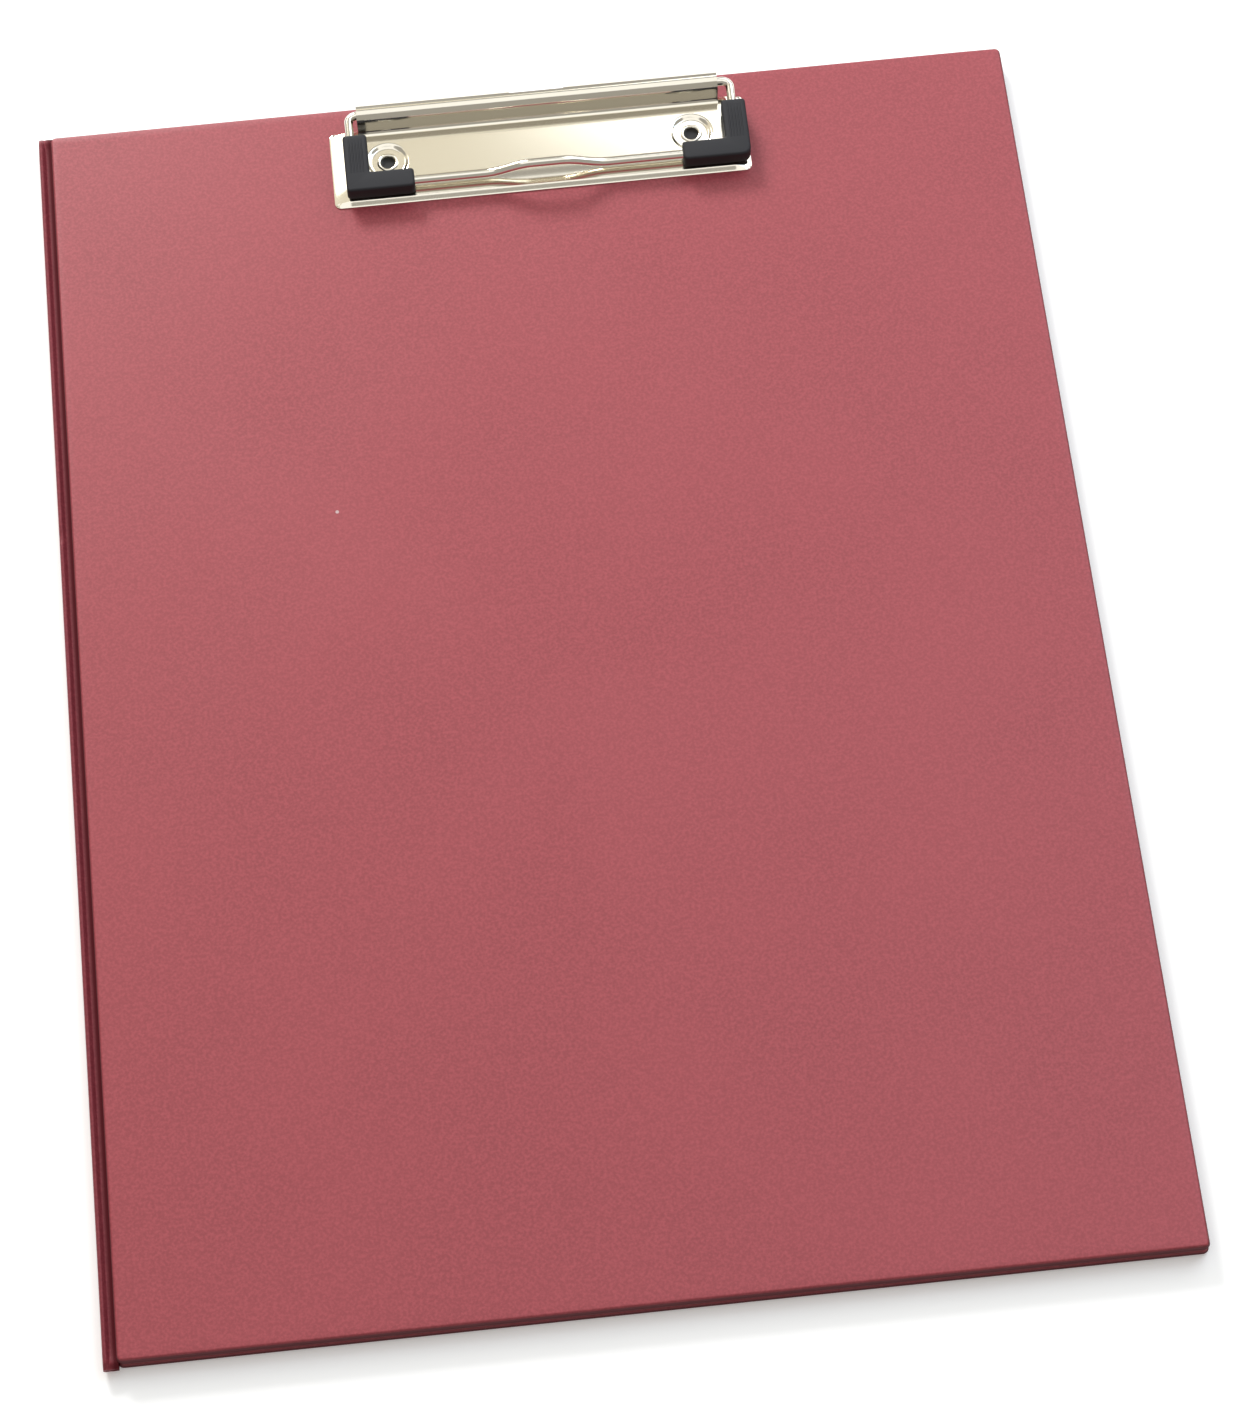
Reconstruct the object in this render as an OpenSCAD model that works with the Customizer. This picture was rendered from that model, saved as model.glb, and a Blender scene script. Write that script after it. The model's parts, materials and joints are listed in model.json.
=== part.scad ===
// Fold-over clipboard: a stiff panel in welded vinyl, a cover folded flat
// behind it on a soft spine, and a sprung wire clip riveted near the top edge.
// X runs across the board, Y towards the clip, Z up from the face it lies on.

/* [Panels] */
// Width of the clip panel and of the cover
panel_w = 235; // [215:1:260]
// Length of the clip panel and of the cover
panel_l = 315; // [300:1:345]
// Corner radius of the panels
panel_corner_r = 2; // [1:0.5:6]
// Thickness of the vinyl sheet
sheet_t = 0.25; // [0.2:0.05:0.4]
// Thickness of the stiff board inside the clip panel
board_core_t = 2.3; // [1.8:0.1:3]
// Thickness of the stiff board inside the cover
cover_core_t = 1.4; // [1:0.1:2]
// Air between the clip panel and the folded cover
fold_gap = 0.5; // [0.45:0.05:1]

/* [Spine] */
// How far the folded spine's middle stands out beyond the weld lines
spine_reach = 3.0; // [2.6:0.1:5]
// Thickness of the two vinyl sheets welded together
spine_t = 0.5; // [0.4:0.05:0.6]
// Distance from a panel's side wall to its weld line
weld_out = 0.4; // [0.4:0.05:0.6]

/* [Clip base] */
// Width of the pressed base plate
base_w = 102; // [96:1:110]
// How far the clip's middle stands to the right of the panel's middle
clip_shift = 1.6; // [-3:0.1:3]
// Distance from the panel's top edge to the front edge of the base plate
base_front = 29.1; // [28:0.1:34]
// Height of the base plate's floor above the panel
floor_h = 1.4; // [1.2:0.1:2]
// Thickness of the base plate's steel
plate_t = 0.7; // [0.5:0.1:0.8]
// Run of the sloping flange at each end of the base plate
end_slope = 4.2; // [3:0.1:5]
// Run of the sloping flange along the front of the base plate
front_slope = 1.3; // [1:0.1:2]
// Distance between the two rivets
rivet_spacing = 74.5; // [70:0.5:78]
// Distance from the front edge of the base plate to the rivets
rivet_back = 11.7; // [11:0.1:13]

/* [Hinge roll] */
// Length of the rolled rear edge
roll_l = 88.6; // [84:0.1:90]
// Outer radius of the rolled rear edge
roll_r = 2.5; // [2.3:0.1:3]
// How far the roll stands to the right of the base plate's middle
roll_shift = 0.5; // [0:0.1:0.6]
// Height of the hinge axis above the panel
axis_h = 5.3; // [5:0.1:6]
// Distance from the front edge of the base plate to the hinge axis
axis_back = 23.1; // [22:0.1:24]
// Length of the window that shows the wire's bent ends
window_l = 13.2; // [12:0.2:16]
// How far behind the hinge axis the window's upper edge lies
window_back = 0.9; // [0.7:0.1:1.2]

/* [Wire bow] */
// Diameter of the wire
wire_d = 2.2; // [2:0.1:2.4]
// Distance between the middles of the two legs
leg_spacing = 93.8; // [93.6:0.1:95]
// Side play taken up by the bow, to the right
bow_shift = 0.5; // [0:0.1:0.5]
// Height of the front run's middle above the panel
run_h = 3.75; // [3.7:0.05:4]
// Distance from the front edge of the base plate to the front run
run_back = 4.1; // [3.8:0.1:5]
// Height of the finger lift in the front run
lift_h = 2.8; // [1:0.1:3]
// Length of each rising part of the finger lift
lift_ramp = 11.5; // [9:0.5:14]
// Length of the flat top of the finger lift
lift_flat = 7; // [3:0.5:10]

/* [Corner sleeves] */
// Height of a sleeve
sleeve_h = 4.1; // [3.6:0.1:4.1]
// Depth of the part of a sleeve that lies along the front run
sleeve_d = 5.1; // [4.4:0.1:5.2]
// Width of the part of a sleeve that lies along a leg
sleeve_w = 5.9; // [5:0.1:6.4]
// Length of a sleeve along the front run
sleeve_run = 16.6; // [14:0.1:20]
// Length of a sleeve along the leg
sleeve_leg = 15.6; // [12:0.1:15.8]
// How far both sleeves have slipped to the right on the wire
sleeve_slip = 0.6; // [0:0.1:0.7]

/* [Hidden] */
$fn = 64;

cover_t = cover_core_t + 2 * sheet_t;
board_t = board_core_t + 2 * sheet_t;
board_z = cover_t + fold_gap;
deck_z = board_z + board_t;
cover_mid_z = cover_t / 2;
board_mid_z = board_z + board_t / 2;

strip_end_gap = 0.4;
spine_pitch = atan2((board_mid_z - cover_mid_z) / 2, spine_reach);
spine_bulge = weld_out + spine_reach + spine_t / 2
    - (strip_end_gap + spine_t / 2) * cos(spine_pitch);
panel_x = spine_bulge / 2;
panel_left = panel_x - panel_w / 2;
weld_x = panel_left - weld_out;
fold_x = weld_x - spine_reach;
fold_z = (cover_mid_z + board_mid_z) / 2;

clip_x = panel_x + clip_shift;
front_y = panel_l / 2 - base_front;
axis_y = front_y + axis_back;
axis_z = deck_z + axis_h;
roll_x = clip_x + roll_shift;
rivet_y = front_y + rivet_back;
wire_r = wire_d / 2;
wire_clearance = 0.05;
bore_r = wire_r + wire_clearance;
slot_half_h = bore_r + wire_clearance;
base_corner_r = 1.5;
edge_t = 0.05;
foot_r = 1.2;
wall_y = axis_y - roll_r;

dimple_r = 5.2;
dimple_floor_r = 4.4;
dimple_floor_t = 0.7;
barrel_r = 2.05;
barrel_bore_r = 1.7;
rivet_head_r = 2.6;
rivet_head_t = 0.45;
rivet_tail_r = 2.9;
rivet_tail_t = 0.35;
rivet_clearance = 0.03;
rivet_hole_r = barrel_r + rivet_clearance;

leg_x = leg_spacing / 2;
bow_x = roll_x + bow_shift;
run_y = front_y + run_back;
bow_tilt = atan2(axis_h - run_h, axis_y - run_y);
bow_reach = round(1000 * norm([axis_h - run_h, axis_y - run_y])) / 1000;
hinge_bend_r = 2;
corner_bend_r = 3.2;
lift_half = lift_flat / 2 + lift_ramp;
lift_r = wire_r - 0.02;
lift_let_in = 0.5;
slope_step = 0.1;
lift_rings = 24;
lift_sides = 16;
anchor_gap = 0.3;
anchor_x = window_l / 2 + 1.4;
tail_x = 3.6;
tail_bend_r = 1.6;
tail_len = 0.3;

sleeve_corner_r = 2;
sleeve_chamfer = 1;
sleeve_inward = 0.5;

vinyl = [0.45, 0.14, 0.18];
greyboard = [0.62, 0.58, 0.52];
nickel = [0.80, 0.78, 0.72];
black_plastic = [0.07, 0.07, 0.08];

// ---------------------------------------------------------------- panels

// A flat slab with the panels' outline, pulled in by inset on every side.
module panel_slab(z, t, inset) {
    translate([panel_x, 0, z])
        linear_extrude(t)
            panel_outline(inset);
}

module panel_outline(inset) {
    w = panel_w - 2 * inset;
    l = panel_l - 2 * inset;
    r = panel_corner_r - inset;
    square([w - 2 * r, l], center = true);
    square([w, l - 2 * r], center = true);
    for (sx = [-1, 1], sy = [-1, 1])
        translate([sx * (w / 2 - r), sy * (l / 2 - r)])
            circle(r);
}

// One vinyl sheet drawn over half the thickness of a panel: a shallow tray.
// open_z is the middle plane of the panel, where the two trays are welded.
module sheet_tray(face_z, open_z, core_face_z) {
    low = min(face_z, open_z);
    high = max(face_z, open_z);
    core_low = min(core_face_z, open_z) - (open_z < core_face_z ? 1 : 0);
    core_high = max(core_face_z, open_z) + (open_z > core_face_z ? 1 : 0);
    difference() {
        panel_slab(low, high - low, 0);
        panel_slab(core_low, core_high - core_low, sheet_t);
        rivet_holes();
    }
}

// The rivets' holes, cut through the whole thickness of the clip panel.
module rivet_holes() {
    for (s = [-1, 1])
        translate([clip_x + s * rivet_spacing / 2, rivet_y, board_z - 1])
            cylinder(h = board_t + floor_h + 2, r = rivet_hole_r);
}

module board_core() {
    color(greyboard)
        difference() {
            panel_slab(board_z + sheet_t, board_core_t, sheet_t);
            rivet_holes();
        }
}

module board_front_sheet() {
    color(vinyl)
        sheet_tray(deck_z, board_mid_z, deck_z - sheet_t);
}

module board_back_sheet() {
    color(vinyl)
        sheet_tray(board_z, board_mid_z, board_z + sheet_t);
}

module cover_core() {
    color(greyboard)
        panel_slab(sheet_t, cover_core_t, sheet_t);
}

module cover_outer_sheet() {
    color(vinyl)
        sheet_tray(cover_t, cover_mid_z, cover_t - sheet_t);
}

module cover_inner_sheet() {
    color(vinyl)
        sheet_tray(0, cover_mid_z, sheet_t);
}

// ----------------------------------------------------------------- spine

// A strip of welded vinyl between two fold lines, seen along Y.
module spine_strip(from_x, from_z, to_x, to_z) {
    span = norm([to_x - from_x, to_z - from_z]);
    pitch = atan2(to_z - from_z, to_x - from_x);
    r = spine_t / 2;
    inset = strip_end_gap + r;
    strip_l = panel_l - 2 * panel_corner_r;
    translate([from_x, strip_l / 2, from_z])
        rotate([90, 0, 0])
            linear_extrude(strip_l)
                rotate(pitch) {
                    translate([inset, -r])
                        square([span - 2 * inset, spine_t]);
                    for (x = [inset, span - inset])
                        translate([x, 0])
                            circle(r);
                }
}

module spine_upper() {
    color(vinyl)
        spine_strip(weld_x, board_mid_z, fold_x, fold_z);
}

module spine_lower() {
    color(vinyl)
        spine_strip(weld_x, cover_mid_z, fold_x, fold_z);
}

// ------------------------------------------------------------- clip base

// The solid under the pressed pan's upper face, shrunk by the steel's thickness
// when it is used to hollow the pan out.
module pan_block(shrink) {
    half_w = base_w / 2 - shrink;
    foot_y = front_y + shrink;
    top_z = floor_h - shrink;
    foot_z = shrink > 0 ? -1 : 0;
    foot_t = shrink > 0 ? 1 : edge_t;
    r = base_corner_r;
    hull() {
        for (s = [-1, 1]) {
            translate([s * (half_w - r), foot_y + r, foot_z])
                cylinder(h = foot_t, r = r, $fn = 32);
            translate([s * (half_w - r / 2), wall_y + foot_r - shrink, foot_z])
                cylinder(h = foot_t, r = r / 2, $fn = 32);
            translate([s * (half_w - end_slope - r), foot_y + front_slope + r, top_z - edge_t])
                cylinder(h = edge_t, r = r, $fn = 32);
            translate([s * (half_w - end_slope - r / 2), wall_y + foot_r - shrink, top_z - edge_t])
                cylinder(h = edge_t, r = r / 2, $fn = 32);
        }
    }
}

// The upright rear wall with its rounded foot, ready for the roll above it.
module roll_wall() {
    translate([roll_x - roll_l / 2, 0, deck_z])
        rotate([90, 0, 90])
            linear_extrude(roll_l)
                difference() {
                    translate([wall_y - foot_r, floor_h - plate_t])
                        square([foot_r + roll_r, axis_h - floor_h + plate_t]);
                    translate([wall_y - foot_r, floor_h + foot_r])
                        circle(foot_r);
                    translate([wall_y - foot_r - 1, floor_h + foot_r])
                        square([foot_r + 1, axis_h]);
                    translate([wall_y + plate_t, -1])
                        square([2 * roll_r, axis_h + 2]);
                }
}

module clip_base() {
    color(nickel)
        difference() {
            union() {
                translate([clip_x, 0, deck_z])
                    difference() {
                        pan_block(0);
                        pan_block(plate_t);
                    }
                for (s = [-1, 1])
                    translate([clip_x + s * rivet_spacing / 2, rivet_y, deck_z])
                        cylinder(h = floor_h, r = dimple_r + plate_t);
                roll_wall();
                translate([roll_x - roll_l / 2, axis_y, axis_z])
                    rotate([0, 90, 0])
                        cylinder(h = roll_l, r = roll_r);
            }
            for (s = [-1, 1])
                translate([clip_x + s * rivet_spacing / 2, rivet_y, deck_z + dimple_floor_t])
                    cylinder(h = floor_h, r1 = dimple_floor_r, r2 = 2 * dimple_r - dimple_floor_r);
            rivet_holes();
            translate([roll_x - roll_l / 2 - 1, axis_y, axis_z])
                rotate([0, 90, 0])
                    cylinder(h = roll_l + 2, r = bore_r);
            roll_window();
        }
}

// Cut out of the roll's rear half: a slot for the wire's bent ends, and above it
// the opening that shows them.
module roll_window() {
    translate([roll_x - window_l / 2, axis_y, axis_z - slot_half_h])
        cube([window_l, 2 * roll_r, 2 * slot_half_h]);
    translate([roll_x - window_l / 2, axis_y + window_back, axis_z])
        cube([window_l, 2 * roll_r, 2 * roll_r]);
}

// Hollow rivets: a rolled head on the plate, a barrel and a rolled tail behind.
module clip_rivets() {
    head_z = deck_z + dimple_floor_t;
    tail_z = board_z - rivet_tail_t;
    color(nickel)
        for (s = [-1, 1])
            translate([clip_x + s * rivet_spacing / 2, rivet_y, 0])
                difference() {
                    union() {
                        translate([0, 0, head_z])
                            cylinder(h = rivet_head_t, r = rivet_head_r);
                        translate([0, 0, tail_z])
                            cylinder(h = head_z - tail_z, r = barrel_r);
                        translate([0, 0, tail_z])
                            cylinder(h = rivet_tail_t, r = rivet_tail_r);
                    }
                    translate([0, 0, tail_z - 1])
                        cylinder(h = deck_z, r = barrel_bore_r);
                }
}

// The two inner ends of the wire, bent out through the window and held still
// there while the wire between them and the legs twists.
module wire_anchor_ends() {
    color(nickel)
        translate([roll_x, axis_y, axis_z])
            for (s = [-1, 1])
                scale([s, 1, 1]) {
                    translate([tail_x + tail_bend_r, 0, 0])
                        rotate([0, 90, 0])
                            cylinder(h = anchor_x - tail_x - tail_bend_r, r = wire_r);
                    translate([tail_x + tail_bend_r, tail_bend_r, 0])
                        rotate([0, 0, 180])
                            rotate_extrude(angle = 90)
                                translate([tail_bend_r, 0])
                                    circle(wire_r);
                    translate([tail_x, tail_bend_r, 0])
                        rotate([-90, 0, 0])
                            cylinder(h = tail_len, r = wire_r);
                }
}

// -------------------------------------------------------------- wire bow

// Places its children in the bow's own plane: X along the hinge axis, the legs
// running towards -Y, and the front run at Y = -bow_reach.
module in_bow_plane() {
    translate([bow_x, axis_y, axis_z])
        rotate([bow_tilt, 0, 0])
            children();
}

// A straight length of round rod along X.
module rod_x(from, to, r) {
    translate([from, 0, 0])
        rotate([0, 90, 0])
            cylinder(h = to - from, r = r);
}

// A bent length of round rod in the XY plane round the origin.
module rod_bend(bend_r, from, sweep, r) {
    rotate([0, 0, from])
        rotate_extrude(angle = sweep)
            translate([bend_r, 0])
                circle(r);
}

// The right half of the bow from the roll to the front run. The hollow left
// for it in a sleeve is the same shape with a larger radius.
module bow_leg(r) {
    translate([leg_x - hinge_bend_r, -hinge_bend_r, 0])
        rod_bend(hinge_bend_r, 0, 90, r);
    translate([leg_x, -hinge_bend_r, 0])
        rotate([90, 0, 0])
            cylinder(h = bow_reach - corner_bend_r - hinge_bend_r, r = r);
    translate([leg_x - corner_bend_r, corner_bend_r - bow_reach, 0])
        rod_bend(corner_bend_r, 270, 90, r);
}

// The height of the front run above its straight ends: flat in the middle, with
// a smooth cosine slope on each side.
function lift_at(x) =
    let (u = max(0, min(1, (abs(x) - lift_flat / 2) / lift_ramp)))
    lift_h * (1 + cos(180 * u)) / 2;

// The middle of the front run, swept as rings of points square to its path. It
// is let into the round rod at both ends.
module finger_lift() {
    half = lift_half + lift_let_in;
    step = 2 * half / lift_rings;
    xs = [for (i = [0 : lift_rings]) -half + i * step];
    points = [
        for (x = xs)
            let (pitch = atan2(lift_at(x + slope_step) - lift_at(x - slope_step), 2 * slope_step))
            for (k = [0 : lift_sides - 1])
                let (a = 360 * k / lift_sides, up = lift_r * sin(a))
                [x - up * sin(pitch), lift_r * cos(a), lift_at(x) + up * cos(pitch)]
    ];
    walls = [
        for (i = [0 : lift_rings - 1], k = [0 : lift_sides - 1])
            let (n = (k + 1) % lift_sides, row = i * lift_sides)
            [row + k, row + lift_sides + k, row + lift_sides + n, row + n]
    ];
    first_cap = [for (k = [0 : lift_sides - 1]) k];
    last_cap = [for (k = [lift_sides - 1 : -1 : 0]) lift_rings * lift_sides + k];
    polyhedron(points, concat(walls, [first_cap, last_cap]));
}

module wire_bow() {
    color(nickel)
        in_bow_plane() {
            translate([0, -bow_reach, 0])
                finger_lift();
            for (s = [-1, 1])
                scale([s, 1, 1]) {
                    rod_x(anchor_x + anchor_gap - s * bow_shift, leg_x - hinge_bend_r, wire_r);
                    bow_leg(wire_r);
                    translate([0, -bow_reach, 0])
                        rod_x(lift_half, leg_x - corner_bend_r, wire_r);
                }
        }
}

// -------------------------------------------------------- corner sleeves

// An L of moulded plastic over a corner of the bow. outer is the distance from
// the leg's middle to the sleeve's outer side.
module corner_sleeve(side, outer) {
    front = -bow_reach - sleeve_d / 2;
    right = leg_x + outer;
    corner_r = sleeve_corner_r;
    color(black_plastic)
        in_bow_plane()
            scale([side, 1, 1])
                difference() {
                    translate([0, 0, -sleeve_h / 2])
                        linear_extrude(sleeve_h)
                            difference() {
                                union() {
                                    translate([right - sleeve_run, front])
                                        square([sleeve_run - corner_r, sleeve_d]);
                                    translate([right - sleeve_w, front + corner_r])
                                        square([sleeve_w, sleeve_leg - corner_r]);
                                    translate([right - corner_r, front + corner_r])
                                        circle(corner_r);
                                }
                                translate([right - sleeve_run, front])
                                    rotate(45)
                                        square(sleeve_chamfer, center = true);
                            }
                    bow_leg(bore_r);
                    translate([0, -bow_reach, 0])
                        rod_x(lift_half, leg_x - corner_bend_r, bore_r);
                }
}

module left_sleeve() {
    corner_sleeve(-1, sleeve_w / 2 - sleeve_inward - sleeve_slip);
}

module right_sleeve() {
    corner_sleeve(1, sleeve_w / 2 - sleeve_inward + sleeve_slip);
}

board_core();
board_front_sheet();
board_back_sheet();
spine_upper();
spine_lower();
cover_core();
cover_outer_sheet();
cover_inner_sheet();
clip_base();
clip_rivets();
wire_anchor_ends();
wire_bow();
left_sleeve();
right_sleeve();
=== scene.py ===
"""Builds the looks of a fold-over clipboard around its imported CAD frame.

Everything is in metres, in the frame's own axes: X runs across the board, Y towards the clip and Z up from
the face that the clipboard lies on.
"""

import json
import math

import bpy
import numpy as np
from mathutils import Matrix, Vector


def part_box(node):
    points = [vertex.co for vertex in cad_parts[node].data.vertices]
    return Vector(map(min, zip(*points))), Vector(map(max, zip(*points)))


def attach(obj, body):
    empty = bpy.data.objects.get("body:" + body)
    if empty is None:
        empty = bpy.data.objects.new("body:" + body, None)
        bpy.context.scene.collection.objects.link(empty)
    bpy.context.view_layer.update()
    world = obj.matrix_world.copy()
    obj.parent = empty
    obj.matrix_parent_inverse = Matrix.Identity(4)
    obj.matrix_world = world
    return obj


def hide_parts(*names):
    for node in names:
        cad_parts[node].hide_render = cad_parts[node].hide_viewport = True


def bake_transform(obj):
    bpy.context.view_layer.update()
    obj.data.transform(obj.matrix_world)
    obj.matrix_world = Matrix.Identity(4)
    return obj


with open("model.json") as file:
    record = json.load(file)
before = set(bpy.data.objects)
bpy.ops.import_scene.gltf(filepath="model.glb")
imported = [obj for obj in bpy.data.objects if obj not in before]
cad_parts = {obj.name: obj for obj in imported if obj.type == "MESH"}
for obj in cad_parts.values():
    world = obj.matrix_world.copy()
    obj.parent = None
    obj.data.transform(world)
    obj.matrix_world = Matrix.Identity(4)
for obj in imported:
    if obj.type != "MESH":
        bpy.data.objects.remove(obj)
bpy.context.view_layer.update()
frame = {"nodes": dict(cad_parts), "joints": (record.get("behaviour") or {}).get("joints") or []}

bl_info = {
    "name": "Fold-over clipboard",
    "version": (1, 0, 0),
    "blender": (4, 5, 0),
    "location": "3D View > Sidebar > Clipboard",
    "description": "Builds a vinyl fold-over clipboard with a sprung wire clip around its CAD frame",
    "category": "Add Mesh",
}

MM = 0.001

# Half the side of the square that is meshed in rings round each rivet.
PATCH_HALF = 6.4 * MM
# How far the plate's fine mesh lines reach past its end, front and rear slopes.
END_MARGIN, FRONT_MARGIN, REAR_MARGIN = 1.2 * MM, 0.8 * MM, 1.2 * MM
# Angles in degrees round the hinge roll, seen along X: its start, the window's two edges, and its end.
ROLL_TURNS = (180, 69, -28, -122)

# Linear colours of the painted shade inside a bore, and of dust on the vinyl and on the sleeves.
BORE_PAINTED_SHADE = (0.002, 0.002, 0.002)
VINYL_DUST = (0.55, 0.42, 0.42)
SLEEVE_DUST = (0.10, 0.10, 0.10)

# Area lights: name, place, the point aimed at, width and height in metres, brightness, and linear colour.
LIGHTS = (
    ("back_softbox", (0.75, 0.95, 1.05), (0.0, 0.1, 0.0), 1.36, 0.95, 1.9, (0.94, 0.97, 1.0)),
    ("back_card", (-0.62, 0.95, 1.05), (0.0, 0.1, 0.0), 1.36, 0.95, 0.46, (1.0, 0.90, 0.66)),
    ("right_window", (0.75, 0.45, 1.2), (0.0, 0.0, 0.0), 0.7, 0.9, 1.5, (0.55, 0.75, 1.0)),
    ("back_window", (-0.45, 1.35, 0.85), (0.0, 0.0, 0.0), 0.5, 0.36, 33.0, (1.0, 1.0, 1.0)),
    ("top_softbox", (0.0, 0.05, 1.5), (0.0, 0.0, 0.0), 1.4, 1.3, 0.78, (1.0, 1.0, 1.0)),
    ("left_softbox", (-0.71, 0.87, 0.85), (0.0, 0.14, 0.0), 0.3, 0.3, 1.8, (1.0, 1.0, 1.0)),
)
# Half the floor's side in metres, its own glow, the room's strength, and the sensor's width in millimetres.
FLOOR_HALF = 4.0
FLOOR_GLOW = 0.20
ROOM_STRENGTH = 0.40
SENSOR_WIDTH = 36.0


def length(name, description, millimetres):
    """A length property whose default is given in millimetres."""
    return bpy.props.FloatProperty(
        name=name, description=description, default=millimetres * MM, unit="LENGTH", precision=5
    )


def colour(name, description, *linear_rgb):
    """A colour property whose default is a linear red, green and blue."""
    return bpy.props.FloatVectorProperty(
        name=name, description=description, default=linear_rgb, subtype="COLOR", min=0.0, max=1.0
    )


class ClipboardSizes(bpy.types.PropertyGroup):
    """Sizes that the CAD frame doesn't already give."""

    corner_radius: length("Panel corner", "Corner radius of both panels, seen from above", 1.3)
    edge_radius: length("Panel edge", "Rounding of the vinyl over a panel's edge", 0.7)
    weld_bead: length("Weld bead", "How far the weld stands out from a panel's side wall", 0.15)
    corner_droop: length("Corner droop", "How far the free soft corners hang down", 0.12)
    band: length("Spine band", "Thickness of the two welded vinyl sheets", 0.5)
    spine_reach: length("Spine reach", "How much further than the panels the spine reaches at each end", 0.9)
    steel: length("Plate steel", "Thickness of the clip's pressed steel", 0.7)
    front_fall: length("Front fall", "How far the floor falls before the front flange", 0.50)
    front_run: length("Front fall run", "Run of the floor's fall before the front flange", 3.4)
    end_slope: length("End flange", "Run of the sloping flange at each end of the plate", 4.2)
    front_slope: length("Front flange", "Run of the sloping flange along the plate's front", 1.3)
    rear_slope: length("Rear turn-down", "Run of the rounded rear edge of the plate", 0.6)
    plate_corner: length("Plate corner", "Radius of the plate's corners, seen from above", 1.6)
    floor_height: length("Plate height", "Height of the plate's floor above the panel", 1.4)
    dimple_radius: length("Dimple", "Radius of the dimple round each rivet", 5.2)
    dimple_run: length("Dimple slope", "Run of the dimple's sloping wall", 1.1)
    dimple_depth: length("Dimple depth", "Depth of the dimple's floor under the plate's floor", 0.7)
    foot_radius: length("Wall foot", "Radius of the fillet at the foot of the plate's rear wall", 1.2)
    roll_radius: length("Hinge roll", "Outer radius of the rolled rear edge", 2.5)
    roll_length: length("Roll length", "Length of the rolled rear edge", 88.6)
    window_length: length("Window", "Length of the window in the hinge roll", 13.2)
    rivet_head: length("Rivet head", "Outer radius of a rivet's rolled head", 2.6)
    rivet_tail: length("Rivet tail", "Outer radius of a rivet's rolled tail", 2.9)
    rivet_barrel: length("Rivet barrel", "Outer radius of a rivet's barrel", 2.05)
    rivet_bore: length("Rivet bore", "Radius of the hole through a rivet", 1.7)
    head_rise: length("Head rise", "Height of a rivet's rolled head above its widest ring", 0.42)
    tail_fall: length("Tail fall", "Depth of a rivet's rolled tail below its widest ring", 0.30)
    hinge_bend: length("Hinge bend", "Radius of the wire's bend from the roll into a leg", 2.0)
    corner_bend: length("Corner bend", "Radius of the wire's bend from a leg into the front run", 3.2)
    wire_start: length("Wire start", "Where the bow begins inside the roll, from its middle", 8.4)
    wire_tail: length("Wire tail", "Where the wire's turned-up ends stand, from the roll's middle", 3.6)
    tail_bend: length("Tail bend", "Radius of the bend into a turned-up end", 1.6)
    lift_height: length("Finger lift", "Height of the raised middle of the front run", 2.8)
    lift_flat: length("Lift top", "Length of the flat top of the finger lift", 7.0)
    lift_ramp: length("Lift ramp", "Length of each rising part of the finger lift", 11.5)
    sleeve_height: length("Sleeve height", "Height of a corner sleeve", 4.1)
    sleeve_depth: length("Sleeve depth", "Depth of a sleeve's part along the front run", 5.1)
    sleeve_width: length("Sleeve width", "Width of a sleeve's part along a leg", 5.9)
    sleeve_leg: length("Sleeve leg", "Length of a sleeve along a leg", 15.6)
    sleeve_edge: length("Sleeve edge", "Rounding of a sleeve's upper edges", 0.7)
    left_corner: length("Left sleeve corner", "Outer corner radius of the left sleeve", 1.0)
    right_corner: length("Right sleeve corner", "Outer corner radius of the right sleeve", 2.4)


class ClipboardColours(bpy.types.PropertyGroup):
    """Colours of the finishes, as linear values."""

    vinyl: colour("Vinyl", "Burgundy vinyl on the panels", 0.288, 0.037, 0.049)
    # Painted shade: a darker copy of the panel vinyl, used for the whole spine.
    spine: colour("Spine vinyl", "The same vinyl where it is creased into the spine", 0.185, 0.026, 0.036)
    # Painted shade: the vinyl darkened where the lower side walls and the spine's groove lie in shade.
    vinyl_painted_shade: colour("Vinyl in welds", "The same vinyl along welds and side walls", 0.085, 0.004, 0.009)
    nickel: colour("Nickel", "Plating of the clip, its rivets and its wire", 0.82, 0.76, 0.575)
    smudge: colour("Smudge", "Film left by fingers on the plating", 0.50, 0.43, 0.25)
    plastic: colour("Sleeve plastic", "Moulded plastic of the corner sleeves", 0.003, 0.003, 0.005)
    greyboard: colour("Greyboard", "Board inside both panels", 0.30, 0.26, 0.21)
    floor: colour("Floor", "Floor that the clipboard lies on", 0.93, 0.93, 0.93)
    room: colour("Room", "Light that comes from all round", 1.0, 0.96, 0.88)


class ClipboardCamera(bpy.types.PropertyGroup):
    """The camera's place, turn and lens."""

    place: bpy.props.FloatVectorProperty(
        name="Place",
        description="Where the camera stands",
        default=(-0.0262, -0.4604, 0.8818),
        subtype="TRANSLATION",
        unit="LENGTH",
    )
    turn: bpy.props.FloatVectorProperty(
        name="Turn",
        description="Turn of the camera about X, Y and Z",
        default=(math.radians(26.981), math.radians(0.812), math.radians(-6.038)),
        subtype="EULER",
        unit="ROTATION",
    )
    lens: bpy.props.FloatProperty(
        name="Lens", description="Focal length in millimetres", default=109.19, unit="CAMERA"
    )


# ------------------------------------------------------------ places from the frame


def corners(node):
    """A CAD node's lowest and highest corner as arrays."""
    low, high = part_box(node)
    return np.array(low), np.array(high)


def sizes():
    """The scene's sizes."""
    return bpy.context.scene.clipboard_sizes


def colours():
    """The scene's colours."""
    return bpy.context.scene.clipboard_colours


def bow_axis():
    """The middle of the wire bow on its hinge axis."""
    joint = next(j for j in frame["joints"] if j["name"] == "bow_lift")
    return np.array(joint["pos_m"])


def deck_height():
    """Height of the clip panel's face."""
    return corners("board_front_sheet")[1][2]


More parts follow.
